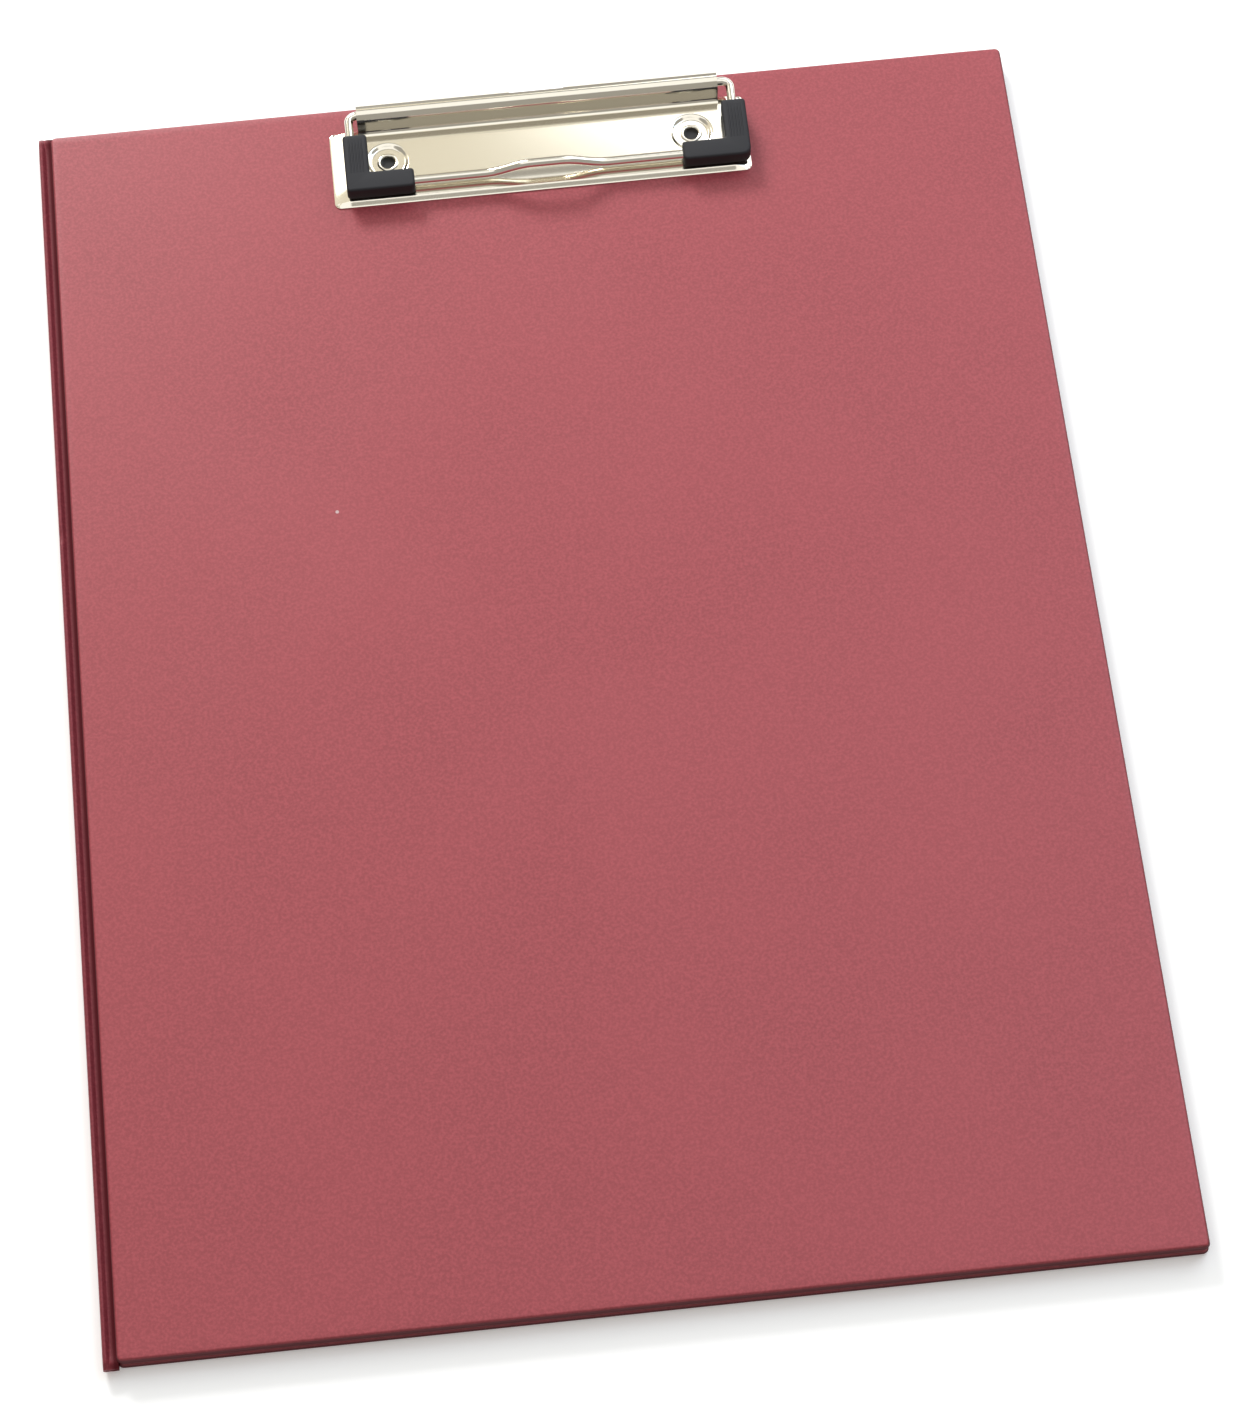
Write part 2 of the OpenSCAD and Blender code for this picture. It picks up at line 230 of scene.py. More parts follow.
def rivet_places():
    """The middles of the left and the right rivet, on the panel's face."""
    low, high = corners("clip_rivets")
    tail = sizes().rivet_tail
    y = (low[1] + high[1]) / 2
    return np.array([[low[0] + tail, y, deck_height()], [high[0] - tail, y, deck_height()]])


# ------------------------------------------------------------ meshes


def grid_faces(rows, columns, wrap_rows=False, wrap_columns=False):
    """Quads between the points of a grid that is stored row by row."""
    i = np.arange(rows if wrap_rows else rows - 1)
    j = np.arange(columns if wrap_columns else columns - 1)
    i, j = (a.ravel() for a in np.meshgrid(i, j, indexing="ij"))
    i_next, j_next = (i + 1) % rows, (j + 1) % columns
    near, far = i * columns, i_next * columns
    return np.stack([near + j, far + j, far + j_next, near + j_next], axis=1)


def weld(points, faces):
    """Makes points that share a place one point."""
    keys = np.round(points / (0.001 * MM)).astype(np.int64)
    _, first, number = np.unique(keys, axis=0, return_index=True, return_inverse=True)
    return points[first], number.ravel()[faces]


def closed_shell(upper, faces, lower):
    """Joins the two sides of a sheet into a closed skin.

    Each free edge from a to b of the upper side gets a quad down to the same edge of the lower side.
    """
    count = len(upper)
    a = faces.ravel()
    b = np.roll(faces, -1, axis=1).ravel()
    free = ~np.isin(a * count + b, b * count + a)
    a, b = a[free], b[free]
    rim = np.stack([b, a, a + count, b + count], axis=1)
    return np.vstack([upper, lower]), np.vstack([faces, faces[:, ::-1] + count, rim])


def make_piece(name, points, *face_blocks, marks=None):
    """Puts points and faces into a new mesh, and marks, one number for each point, into its rim attribute,
    which says where painted shade goes.
    """
    mesh = bpy.data.meshes.new(name)
    faces = [face for block in face_blocks for face in block.tolist()]
    mesh.from_pydata(points.tolist(), [], faces)
    mesh.validate()
    rim = mesh.attributes.new("rim", "FLOAT", "POINT")
    if marks is not None:
        rim.data.foreach_set("value", marks.astype(np.float32))
    mesh.update()
    piece = bpy.data.objects.new(name, mesh)
    bpy.context.scene.collection.objects.link(piece)
    return piece


def finish_piece(piece, material, replaced=(), sharp=40.0):
    """Shades a piece smooth apart from its sharp edges, and says what it is made of and stands for."""
    piece.data.shade_smooth()
    piece.data.set_sharp_from_angle(angle=math.radians(sharp))
    piece.data.materials.append(material)
    if replaced:
        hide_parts(*replaced)
    return piece


def knee(x, softness):
    """A ramp from 0 at x = 0 to 1 at x = 1, flat outside that, with both bends rounded.

    It is half the difference of two hyperbolas, one bending at each end of the ramp.
    """

    def rise(u):
        return (np.hypot(u, softness) - np.hypot(u - 1, softness) + 1) / 2

    return np.clip((rise(x) - rise(0.0)) / (rise(1.0) - rise(0.0)), 0.0, 1.0)


def bell(away, spread):
    """A bell curve: 1 in the middle, falling with the square of the distance over the spread."""
    return np.exp(-((away / spread) ** 2))


def eased_path(knots, count, window):
    """A smooth path past a few knots: points evenly along the straight lines, averaged over a window."""
    knots = np.asarray(knots, float)
    run = np.concatenate([[0], np.cumsum(np.linalg.norm(np.diff(knots, axis=0), axis=1))])
    at = np.linspace(0, run[-1], count)
    dense = np.stack([np.interp(at, run, column) for column in knots.T], axis=1)
    padded = np.pad(dense, ((window, window), (0, 0)), mode="reflect", reflect_type="odd")
    kernel = np.hanning(2 * window + 1)
    kernel /= kernel.sum()
    return np.stack([np.convolve(column, kernel, mode="valid") for column in padded.T], axis=1)


def arc(centre, radius, start, stop, steps):
    """Points of a circular arc in a plane, with its angles in degrees."""
    turn = np.radians(np.linspace(start, stop, steps))
    return np.asarray(centre) + radius * np.stack([np.cos(turn), np.sin(turn)], axis=1)


def tube(path, radius, up, sides=20):
    """A round rod along a path. Each ring stands square to the path, and up keeps the rings from twisting."""
    along = np.gradient(path, axis=0)
    along /= np.linalg.norm(along, axis=1, keepdims=True)
    across = np.cross(along, up)
    across /= np.linalg.norm(across, axis=1, keepdims=True)
    over = np.cross(across, along)
    turn = np.linspace(0, 2 * np.pi, sides, endpoint=False)[:, None]
    ring = np.cos(turn) * across[:, None] + np.sin(turn) * over[:, None]
    points = (path[:, None] + radius * ring).reshape(-1, 3)
    last = (len(path) - 1) * sides
    side = np.arange(sides)
    caps = np.stack([side, side[::-1] + last])
    return points, grid_faces(len(path), sides, wrap_columns=True)[:, ::-1], caps[:, ::-1]


# ------------------------------------------------------------ finishes


def new_group(name, inputs, outputs):
    """An empty shader node group with number and vector sockets."""
    group = bpy.data.node_groups.new(name, "ShaderNodeTree")
    for label, kind, default in inputs:
        socket = group.interface.new_socket(name=label, in_out="INPUT", socket_type=kind)
        if default is not None:
            socket.default_value = default
    for label in outputs:
        group.interface.new_socket(name=label, in_out="OUTPUT", socket_type="NodeSocketFloat")
    return group, group.nodes.new("NodeGroupInput"), group.nodes.new("NodeGroupOutput")


def scaled(group, entry, factor):
    """The group's Scale input times a factor."""
    product = group.nodes.new("ShaderNodeMath")
    product.operation = "MULTIPLY"
    product.inputs[1].default_value = factor
    group.links.new(entry.outputs["Scale"], product.inputs[0])
    return product.outputs[0]


def noise(tree, vector, scale, detail, roughness=0.5):
    """A noise texture on a vector, with its scale given as a number or a socket."""
    node = tree.nodes.new("ShaderNodeTexNoise")
    node.inputs["Detail"].default_value = detail
    node.inputs["Roughness"].default_value = roughness
    tree.links.new(vector, node.inputs["Vector"])
    if isinstance(scale, (int, float)):
        node.inputs["Scale"].default_value = scale
    else:
        tree.links.new(scale, node.inputs["Scale"])
    return node.outputs["Fac"]


def remap(tree, value, low, high, out_low=0.0, out_high=1.0):
    """A value's range from low to high, brought smoothly to a new range."""
    node = tree.nodes.new("ShaderNodeMapRange")
    node.interpolation_type = "SMOOTHSTEP"
    for label, number in (("From Min", low), ("From Max", high), ("To Min", out_low), ("To Max", out_high)):
        node.inputs[label].default_value = number
    tree.links.new(value, node.inputs["Value"])
    return node.outputs["Result"]


def combine(tree, operation, first, second):
    """Two values joined by a math operation; either may be a plain number."""
    node = tree.nodes.new("ShaderNodeMath")
    node.operation = operation
    for socket, value in zip(node.inputs, (first, second)):
        if isinstance(value, (int, float)):
            socket.default_value = value
        else:
            tree.links.new(value, socket)
    return node.outputs[0]


def tint(tree, mask, first, second):
    """A colour that goes from first to second with a mask; either may be a plain colour."""
    node = tree.nodes.new("ShaderNodeMix")
    node.data_type = "RGBA"
    tree.links.new(mask, node.inputs["Factor"])
    for socket, value in zip((node.inputs[6], node.inputs[7]), (first, second)):
        if isinstance(value, bpy.types.NodeSocket):
            tree.links.new(value, socket)
        else:
            socket.default_value = (*value, 1.0)
    return node.outputs[2]


def grain_group():
    """Fine grain: a close noise for height, and a wide one for slow changes of tone."""
    group, entry, leave = new_group(
        "Grain",
        [("Vector", "NodeSocketVector", None), ("Scale", "NodeSocketFloat", 2000.0)],
        ["Height", "Tone"],
    )
    vector = entry.outputs["Vector"]
    close = noise(group, vector, entry.outputs["Scale"], 3.0, 0.6)
    wide = noise(group, vector, scaled(group, entry, 0.012), 4.0, 0.55)
    group.links.new(close, leave.inputs["Height"])
    group.links.new(wide, leave.inputs["Tone"])
    return group


def dust_group():
    """Sparse specks: the near cells of a Voronoi pattern, let through where a wide noise is high."""
    group, entry, leave = new_group(
        "Dust",
        [
            ("Vector", "NodeSocketVector", None),
            ("Scale", "NodeSocketFloat", 60.0),
            ("Size", "NodeSocketFloat", 0.03),
        ],
        ["Mask"],
    )
    cells = group.nodes.new("ShaderNodeTexVoronoi")
    cells.inputs["Randomness"].default_value = 1.0
    group.links.new(entry.outputs["Vector"], cells.inputs["Vector"])
    group.links.new(entry.outputs["Scale"], cells.inputs["Scale"])
    near = combine(group, "LESS_THAN", cells.outputs["Distance"], entry.outputs["Size"])
    patch = noise(group, entry.outputs["Vector"], scaled(group, entry, 0.4), 2.0)
    group.links.new(combine(group, "MULTIPLY", near, remap(group, patch, 0.5, 0.6)), leave.inputs["Mask"])
    return group


def smudge_group():
    """Finger marks: a stretched noise cut into soft-edged patches."""
    group, entry, leave = new_group(
        "Smudge",
        [("Vector", "NodeSocketVector", None), ("Scale", "NodeSocketFloat", 60.0)],
        ["Mask"],
    )
    patches = noise(group, entry.outputs["Vector"], entry.outputs["Scale"], 5.0, 0.6)
    group.links.new(remap(group, patches, 0.42, 0.68), leave.inputs["Mask"])
    return group


def place_group(tree, group, vector, **numbers):
    """A group in a material, on a vector and with its own numbers."""
    node = tree.nodes.new("ShaderNodeGroup")
    node.node_tree = group
    tree.links.new(vector, node.inputs["Vector"])
    for label, number in numbers.items():
        node.inputs[label].default_value = number
    return node


def start_material(name):
    """A material with its shader, and the Object coordinates that its patterns lie on."""
    material = bpy.data.materials.new(name)
    material.use_nodes = True
    tree = material.node_tree
    where = tree.nodes.new("ShaderNodeTexCoord").outputs["Object"]
    return material, tree, tree.nodes["Principled BSDF"], where


def relief(tree, shader, height, distance, under=None):
    """Bumps of a height given from 0 to 1 and a depth in metres, on top of other bumps if there are any."""
    bump = tree.nodes.new("ShaderNodeBump")
    bump.inputs["Distance"].default_value = distance
    tree.links.new(height, bump.inputs["Height"])
    if under is not None:
        tree.links.new(under, bump.inputs["Normal"])
    tree.links.new(bump.outputs["Normal"], shader.inputs["Normal"])
    return bump.outputs["Normal"]


def painted_bore_shade_mask(tree, where):
    """One inside the clip panel's two bores, where their dark is painted shade, and nought elsewhere: a
    distance from each rivet's axis, and a height above the cover."""
    flat = tree.nodes.new("ShaderNodeVectorMath")
    flat.operation = "MULTIPLY"
    flat.inputs[1].default_value = (1.0, 1.0, 0.0)
    tree.links.new(where, flat.inputs[0])
    masks = []
    for x, y, _ in rivet_places():
        away = tree.nodes.new("ShaderNodeVectorMath")
        away.operation = "DISTANCE"
        away.inputs[1].default_value = (x, y, 0.0)
        tree.links.new(flat.outputs["Vector"], away.inputs[0])
        masks.append(combine(tree, "LESS_THAN", away.outputs["Value"], float(sizes().rivet_barrel)))
    height = tree.nodes.new("ShaderNodeSeparateXYZ")
    tree.links.new(where, height.inputs[0])
    cover_top = float(corners("cover_outer_sheet")[1][2])
    above = combine(tree, "GREATER_THAN", height.outputs["Z"], cover_top + 0.2 * MM)
    return combine(tree, "MULTIPLY", combine(tree, "MAXIMUM", *masks), above)


def vinyl_material(groups, name, body, shine):
    """Satin vinyl: a fine grain, slow changes of tone and gloss, a few specks, and painted shade on the lower
    side walls, in the spine's groove and in the bores.
    """
    material, tree, shader, where = start_material(name)
    grain = place_group(tree, groups["grain"], where, Scale=1500.0)
    dust = place_group(tree, groups["dust"], where, Scale=26.0, Size=0.012)
    smudge = place_group(tree, groups["smudge"], where, Scale=14.0)
    rim = tree.nodes.new("ShaderNodeAttribute")
    rim.attribute_name = "rim"
    lighter = [min(1.0, 1.03 * c + 0.002) for c in body]
    darker = [0.95 * c for c in body]
    tone = tint(tree, remap(tree, grain.outputs["Tone"], 0.3, 0.7), darker, lighter)
    raised = [min(1.0, 1.30 * c + 0.01) for c in body]
    grainy = tint(tree, remap(tree, grain.outputs["Height"], 0.35, 0.70, 0.0, 0.9), tone, raised)
    dusty = tint(tree, dust.outputs["Mask"], grainy, VINYL_DUST)
    # Painted shade: the rim attribute darkens the vinyl on the panels' lower side walls and in the spine's
    # groove.
    edge_shaded = tint(tree, rim.outputs["Fac"], dusty, colours().vinyl_painted_shade)
    # Painted shade: near-black vinyl inside the two rivet bores.
    bore_shaded = tint(tree, painted_bore_shade_mask(tree, where), edge_shaded, BORE_PAINTED_SHADE)
    tree.links.new(bore_shaded, shader.inputs["Base Color"])
    gloss = remap(tree, smudge.outputs["Mask"], 0.0, 1.0, 0.42, 0.45)
    matt = combine(tree, "MULTIPLY", rim.outputs["Fac"], 0.35)
    tree.links.new(combine(tree, "ADD", gloss, matt), shader.inputs["Roughness"])
    shader.inputs["Specular IOR Level"].default_value = shine
    wave = relief(tree, shader, noise(tree, where, 18.0, 2.0), 0.10 * MM)
    relief(tree, shader, grain.outputs["Height"], 0.012 * MM, wave)
    return material


def nickel_material(groups, name, polish):
    """Bright nickel plate: finger marks that dull it, faint orange peel, and hairline scratches."""
    material, tree, shader, where = start_material(name)
    smudge = place_group(tree, groups["smudge"], where, Scale=55.0)
    grain = place_group(tree, groups["grain"], where, Scale=900.0)
    stretch = tree.nodes.new("ShaderNodeMapping")
    stretch.inputs["Scale"].default_value = (0.05, 1.0, 1.0)
    stretch.inputs["Rotation"].default_value = (0.0, 0.0, 0.4)
    tree.links.new(where, stretch.inputs["Vector"])
    hair = remap(tree, noise(tree, stretch.outputs["Vector"], 2600.0, 2.0), 0.62, 0.72)
    film = remap(tree, smudge.outputs["Mask"], 0.0, 1.0, 0.0, 0.6)
    tree.links.new(tint(tree, film, colours().nickel, colours().smudge), shader.inputs["Base Color"])
    dull = remap(tree, smudge.outputs["Mask"], 0.0, 1.0, polish, polish + 0.04)
    scratched = combine(tree, "MULTIPLY", hair, 0.06)
    tree.links.new(combine(tree, "ADD", dull, scratched), shader.inputs["Roughness"])
    shader.inputs["Metallic"].default_value = 1.0
    peel = relief(tree, shader, noise(tree, where, 90.0, 2.0), 0.008 * MM)
    relief(tree, shader, grain.outputs["Height"], 0.0006 * MM, peel)
    return material


def plastic_material(groups):
    """Moulded black plastic: fine spark texture, greasy patches and a little pale dust."""
    material, tree, shader, where = start_material("black_plastic")
    grain = place_group(tree, groups["grain"], where, Scale=3200.0)
    smudge = place_group(tree, groups["smudge"], where, Scale=160.0)
    dust = place_group(tree, groups["dust"], where, Scale=700.0, Size=0.10)
    body = colours().plastic
    tone = tint(tree, remap(tree, grain.outputs["Tone"], 0.3, 0.7), body, [1.8 * c for c in body])
    tree.links.new(tint(tree, dust.outputs["Mask"], tone, SLEEVE_DUST), shader.inputs["Base Color"])
    tree.links.new(remap(tree, smudge.outputs["Mask"], 0.0, 1.0, 0.50, 0.62), shader.inputs["Roughness"])
    shader.inputs["Specular IOR Level"].default_value = 0.12
    relief(tree, shader, grain.outputs["Height"], 0.006 * MM)
    return material


def greyboard_material(groups):
    """Grey pulp board: coarse fibres in colour and relief."""
    material, tree, shader, where = start_material("greyboard")
    grain = place_group(tree, groups["grain"], where, Scale=1400.0)
    body = colours().greyboard
    lighter = [min(1.0, 1.25 * c) for c in body]
    mixed = tint(tree, grain.outputs["Height"], [0.7 * c for c in body], lighter)
    tree.links.new(mixed, shader.inputs["Base Color"])
    shader.inputs["Roughness"].default_value = 0.9
    relief(tree, shader, grain.outputs["Height"], 0.05 * MM)
    return material


def finish(name):
    """A finish by name. All of them are made the first time that one is asked for."""
    if name not in bpy.data.materials:
        groups = {"grain": grain_group(), "dust": dust_group(), "smudge": smudge_group()}
        vinyl_material(groups, "burgundy_vinyl", colours().vinyl, 0.5)
        vinyl_material(groups, "creased_vinyl", colours().spine, 0.2)
        nickel_material(groups, "nickel_plate", 0.03)
        nickel_material(groups, "nickel_wire", 0.08)
        plastic_material(groups)
        greyboard_material(groups)
    return bpy.data.materials[name]


# ------------------------------------------------------------ panels


def panel_outline(half_x, half_y, radius):
    """A rectangle with round corners, anticlockwise: a quarter circle at each corner, then a straight run."""
    signs = np.array([[1, 1], [-1, 1], [-1, -1], [1, -1]])
    middles = signs * (np.array([half_x, half_y]) - radius)
    bends = [arc(m, radius, 90 * k, 90 * k + 90, 9) for k, m in enumerate(middles)]
    share = np.linspace(0, 1, 29)[1:-1, None]
    runs = [(1 - share) * bends[k][-1] + share * bends[(k + 1) % 4][0] for k in range(4)]
    return np.vstack([part for pair in zip(bends, runs) for part in pair])


def panel_section(thickness, edge, bead):
    """A panel's side as (inset, height) pairs: a quarter round, a wall with a weld bead, and a quarter round.

    The bead is a bell curve round the wall's middle.
    """
    turn = np.radians(np.linspace(0, 90, 7))
    over = np.stack([edge * (1 - np.sin(turn)), thickness - edge * (1 - np.cos(turn))], axis=1)
    height = np.linspace(thickness - edge, edge, 11)[1:-1]
    wall = np.stack([-bead * bell(height - thickness / 2, 0.2 * MM), height], axis=1)
    under = over[::-1] * [1, -1] + [0, thickness]
    return np.vstack([over, wall, under])


def panel(name, low, high, droop):
    """A board in vinyl: its section carried round its outline, and faces of rings that shrink to a point.

    The free corners on the right are let down by a bell curve round each of them.
    """
    size = sizes()
    half_x, half_y, thickness = (high - low) / [2, 2, 1]
    middle = (low + high) / 2
    section = panel_section(thickness, min(size.edge_radius, 0.4 * thickness), size.weld_bead)
    rings = np.stack(
        [
            panel_outline(half_x - inset, half_y - inset, max(size.corner_radius - inset, 0.2 * MM))
            for inset in section[:, 0]
        ]
    )
    walls = np.dstack([rings, np.broadcast_to(section[:, 1, None], rings.shape[:2])])
    shrink = np.array([0.12, 0.4, 0.7, 0.9, 0.97, 0.99])[:, None, None]
    top = walls[0] * [1, 1, 0] * shrink + [0, 0, thickness]
    bottom = walls[-1] * [1, 1, 0] * shrink[::-1]
    layers = np.vstack([top, walls, bottom])
    count, around = layers.shape[:2]
    points = np.vstack([layers.reshape(-1, 3), [[0, 0, thickness], [0, 0, 0]]])
    away = np.hypot(points[:, 0] - half_x, np.abs(points[:, 1]) - half_y)
    points[:, 2] -= droop * bell(away, 5 * MM) * points[:, 2] / thickness
    step = np.arange(around)
    after = np.roll(step, -1)
    last = (count - 1) * around
    fans = np.vstack(
        [
            np.stack([np.full(around, count * around), step, after], axis=1),
            np.stack([np.full(around, count * around + 1), last + after, last + step], axis=1),
        ]
    )
    # Painted shade: the lower part of the side wall gets a rim mark that darkens its vinyl.
    depth = 1 - points[:, 2] / thickness
    inset = np.minimum(half_x - np.abs(points[:, 0]), half_y - np.abs(points[:, 1]))
    marks = np.clip(depth * thickness / (0.5 * MM), 0, 1) * (inset < 0.5 * MM)
    points += [middle[0], middle[1], low[2]]
    return make_piece(name, points, grid_faces(count, around, wrap_columns=True), fans, marks=marks)


def build_panels():
    """The clip panel's and the cover's vinyl, and greyboard for the two cores inside them."""
    vinyl = finish("burgundy_vinyl")
    front_low, front_high = corners("board_front_sheet")
    back_low, _ = corners("board_back_sheet")
    board = panel("clip_panel_vinyl", np.minimum(front_low, back_low), front_high, sizes().corner_droop)
    finish_piece(board, vinyl, ("board_front_sheet", "board_back_sheet"))
    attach(board, "board")
    inner_low, _ = corners("cover_inner_sheet")
    _, outer_high = corners("cover_outer_sheet")
    cover = panel("cover_vinyl", inner_low, outer_high, 0.0)
    finish_piece(cover, vinyl, ("cover_outer_sheet", "cover_inner_sheet"))
    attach(cover, "cover")
    for node in ("board_core", "cover_core"):
        mesh = frame["nodes"][node].data
        mesh.materials.clear()
        mesh.materials.append(finish("greyboard"))


# ------------------------------------------------------------ spine


def spine_path():
    """The folded spine's middle line: how far out from the panels' walls, and how high over its own middle.

    It leaves the clip panel's wall low, rises into a rounded ridge, and turns down and back in to the cover.
    """
    out = [-0.25, 0.5, 1.1, 1.7, 2.2, 2.5, 2.8, 2.95]
    height = [0.95, 0.5, 0.38, 0.45, 1.2, 1.72, 1.5, 0.8]
    half = MM * np.stack([out, height], axis=1)
    return eased_path(np.vstack([half, half[::-1] * [1, -1]]), 121, 7)


def spine_band(name, path, wall_x, middle_z, half_y):
    """A stretch of the spine: its path carried along Y and given a thickness.

    The ridge's height changes along Y by two sine waves, a wide swelling and one narrow pinch. Towards the
    welded ends its groove fills up and the whole band closes.
    """
    close = np.linspace(0, 3 * MM, 13)
    inner = np.linspace(3 * MM - half_y, half_y - 3 * MM, 221)[1:-1]
    y = np.concatenate([close - half_y, inner, half_y - close[::-1]])[:, None]
    out, height = path[:, 0][None], path[:, 1][None]
    to_end = half_y - np.abs(y)
    ridge = bell(np.abs(height) - 1.8 * MM, 0.9 * MM) * (out > 1.2 * MM)
    wave = 0.03 * np.sin(y / (8.5 * MM) + 1.0) + 0.02 * np.sin(y / (3.1 * MM))
    swelling = 0.05 * bell(y - 45 * MM, 28 * MM)
    pinch = 0.42 * bell(y - 44 * MM - 0.6 * out, 1.3 * MM)
    ends = 0.10 * np.exp(-to_end / (1.2 * MM))
    height = height * (1 + ridge * (wave + swelling - pinch - ends))
    sealed = bell(to_end, 2.5 * MM) * bell(out - 1.0 * MM, 0.8 * MM)
    height = height + sealed * np.sign(height) * 0.9 * MM
    height = height * (1 - 0.65 * bell(to_end, 0.8 * MM))
    out = out * (1 - 0.10 * ridge * pinch - 0.06 * ends) + 0 * height
    along_out, along_height = np.gradient(out, axis=1), np.gradient(height, axis=1)
    norm = np.hypot(along_out, along_height)
    half_band = sizes().band / 2
    push_out, push_up = -along_height / norm * half_band, along_out / norm * half_band
    y = y + 0 * out

    def side(sign):
        return np.stack([wall_x - out - sign * push_out, y, middle_z + height + sign * push_up], axis=-1)

    faces = grid_faces(*out.shape)
    points, faces = closed_shell(side(1).reshape(-1, 3), faces, side(-1).reshape(-1, 3))
    # Painted shade: the groove next to the panels' walls gets a rim mark that darkens its vinyl.
    groove = np.clip(1.6 - out / MM, 0, 1) + 0 * height
    return make_piece(name, points, faces, marks=np.tile(groove.ravel(), 2))


def build_spine():
    """Three stretches of one band: a weld along each panel and the loop between them."""
    joints = {j["name"]: np.array(j["pos_m"]) for j in frame["joints"]}
    wall_x = corners("board_front_sheet")[0][0]
    half_y = corners("board_front_sheet")[1][1] + sizes().spine_reach
    middle_z = joints["spine_fold"][2]
    path = spine_path()
    ridge = 1 + int(np.argmax(path[:, 0] > 1.5 * MM))
    board, middle, cover = (joints[name] for name in ("board_fold", "spine_fold", "cover_fold"))
    inner, outer, half_bend = wall_x + 0.1 * MM, wall_x - 1.1 * MM, 1.3 * MM
    bends = (
        ((inner, 0, board[2]), (outer, 0, board[2])),
        ((middle[0], 0, middle[2] + half_bend), (middle[0], 0, middle[2] - half_bend)),
        ((outer, 0, cover[2]), (inner, 0, cover[2])),
    )
    stretches = (
        ("spine_upper_weld", path[: ridge + 1], "board", "upper_spine", "spine_upper"),
        ("spine_loop", path[ridge : len(path) - ridge], "upper_spine", "lower_spine", None),
        ("spine_lower_weld", path[len(path) - ridge - 1 :], "lower_spine", "cover", "spine_lower"),
    )
    for (name, part, first, second, node), (start, end) in zip(stretches, bends):
        piece = spine_band(name, part, wall_x, middle_z, half_y)
        finish_piece(piece, finish("creased_vinyl"), (node,) if node else (), sharp=60.0)
        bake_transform(piece)


# ------------------------------------------------------------ clip plate


def round_corners(x, y, half_x, half_y, radius):
    """Moves the corners of a rectangle's grid onto round ones: in each corner square, the square's rings
    become arcs of the same radius."""
    dx = np.maximum(np.abs(x) - (half_x - radius), 0) / radius
    dy = np.maximum(np.abs(y) - (half_y - radius), 0) / radius
    reach = np.hypot(dx, dy)
    pull = np.where(reach > 0, np.maximum(dx, dy) / np.where(reach > 0, reach, 1), 1)
    new_x = np.where(dx > 0, np.sign(x) * (half_x - radius + radius * dx * pull), x)
    new_y = np.where(dy > 0, np.sign(y) * (half_y - radius + radius * dy * pull), y)
    return new_x, new_y


def plate_height(x, y, half_x, half_y, dimples):
    """Height of the plate: a flat floor whose ends, front and rear slope down to the panel, with a dimple
    round each rivet."""
    size = sizes()
    ends = (half_x - np.abs(x)) / size.end_slope
    front = (y + half_y) / size.front_slope
    rear = (half_y - y) / size.rear_slope
    height = size.floor_height * knee(ends, 0.10) * knee(front, 0.07) * knee(rear, 0.30)
    fall = size.front_fall * (1 - knee((y + half_y - size.front_slope) / size.front_run, 0.08))
    height = height - fall * (height / size.floor_height)
    for rivet_x, rivet_y in dimples:
        away = np.hypot(x - rivet_x, y - rivet_y)
        height = height - size.dimple_depth * knee((size.dimple_radius - away) / size.dimple_run, 0.22)
    return height


def dimple_patch(rivet_x, rivet_y, lines_x, lines_y, hole, rings):
    """The square round a rivet: circles that grow from the hole, with the square's edge as the last ring."""
    over_x, over_y = np.ones(len(lines_x) - 1), np.ones(len(lines_y) - 1)
    edge_x = [lines_x[:-1], lines_x[-1] * over_y, lines_x[:0:-1], lines_x[0] * over_y]
    edge_y = [lines_y[0] * over_x, lines_y[:-1], lines_y[-1] * over_x, lines_y[:0:-1]]
    edge = np.stack([np.concatenate(edge_x), np.concatenate(edge_y)], axis=1)
    offset = edge - [rivet_x, rivet_y]
    ray = offset / np.linalg.norm(offset, axis=1, keepdims=True)
    radius = np.linspace(hole, sizes().dimple_radius + 0.6 * MM, rings)
    circles = np.array([rivet_x, rivet_y]) + ray[None] * radius[:, None, None]
    return np.concatenate([circles, edge[None]])


